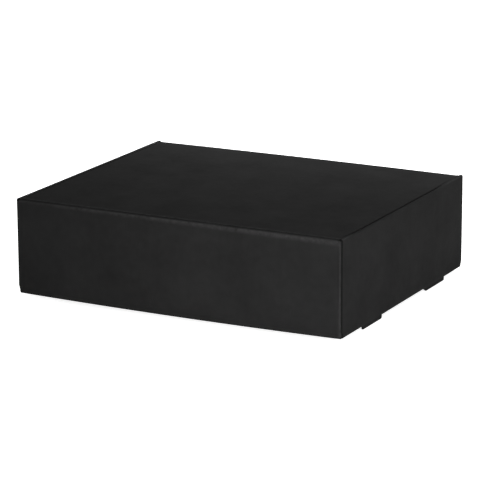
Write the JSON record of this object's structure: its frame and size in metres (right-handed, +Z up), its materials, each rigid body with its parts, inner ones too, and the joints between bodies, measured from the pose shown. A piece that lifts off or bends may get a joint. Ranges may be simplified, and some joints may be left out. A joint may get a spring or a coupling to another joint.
{
  "type": "folding gift box",
  "caption": "Flat folding box of thin corrugated board, with rolled-over side walls, locking tabs through the base and a hinged lid that tucks in.",
  "frame": {"origin": "under the middle of the closed box, level with the free edges of the locking tabs that it stands on", "axes": "+X to the right along the hinge crease, +Y from the hinge wall to the front wall, +Z up"},
  "size_m": [0.34, 0.275, 0.0973],
  "materials": {
    "black_board": "matt black paper facings on both sides, dark raw edges"
  },
  "bodies": {
    "tray": {"base_panel": "black_board", "hinge_wall": "black_board", "front_wall": "black_board", "left_outer_wall": "black_board", "right_outer_wall": "black_board", "left_roll_strip": "black_board", "right_roll_strip": "black_board", "left_inner_wall": "black_board", "right_inner_wall": "black_board", "hinge_left_corner_flap": "black_board", "hinge_right_corner_flap": "black_board", "front_left_corner_flap": "black_board", "front_right_corner_flap": "black_board"},
    "lid": {"lid_panel": "black_board"},
    "tuck": {"tuck_flap": "black_board"},
    "left_ear": {"left_lid_ear": "black_board"},
    "right_ear": {"right_lid_ear": "black_board"}
  },
  "joints": [
    {"name": "lid_crease", "type": "hinge", "parent": "tray", "child": "lid", "pos_m": [0, -0.13548, 0.0953], "axis": [1, 0, 0], "range_deg": [0, 178]},
    {"name": "tuck_crease", "type": "hinge", "parent": "lid", "child": "tuck", "pos_m": [0, 0.1347, 0.09515], "axis": [-1, 0, 0], "range_deg": [0, 69.5]},
    {"name": "left_ear_crease", "type": "hinge", "parent": "lid", "child": "left_ear", "pos_m": [-0.1645, 0, 0.09515], "axis": [0, -1, 0], "range_deg": [0, 76]},
    {"name": "right_ear_crease", "type": "hinge", "parent": "lid", "child": "right_ear", "pos_m": [0.1645, 0, 0.09515], "axis": [0, 1, 0], "range_deg": [0, 76]}
  ]
}
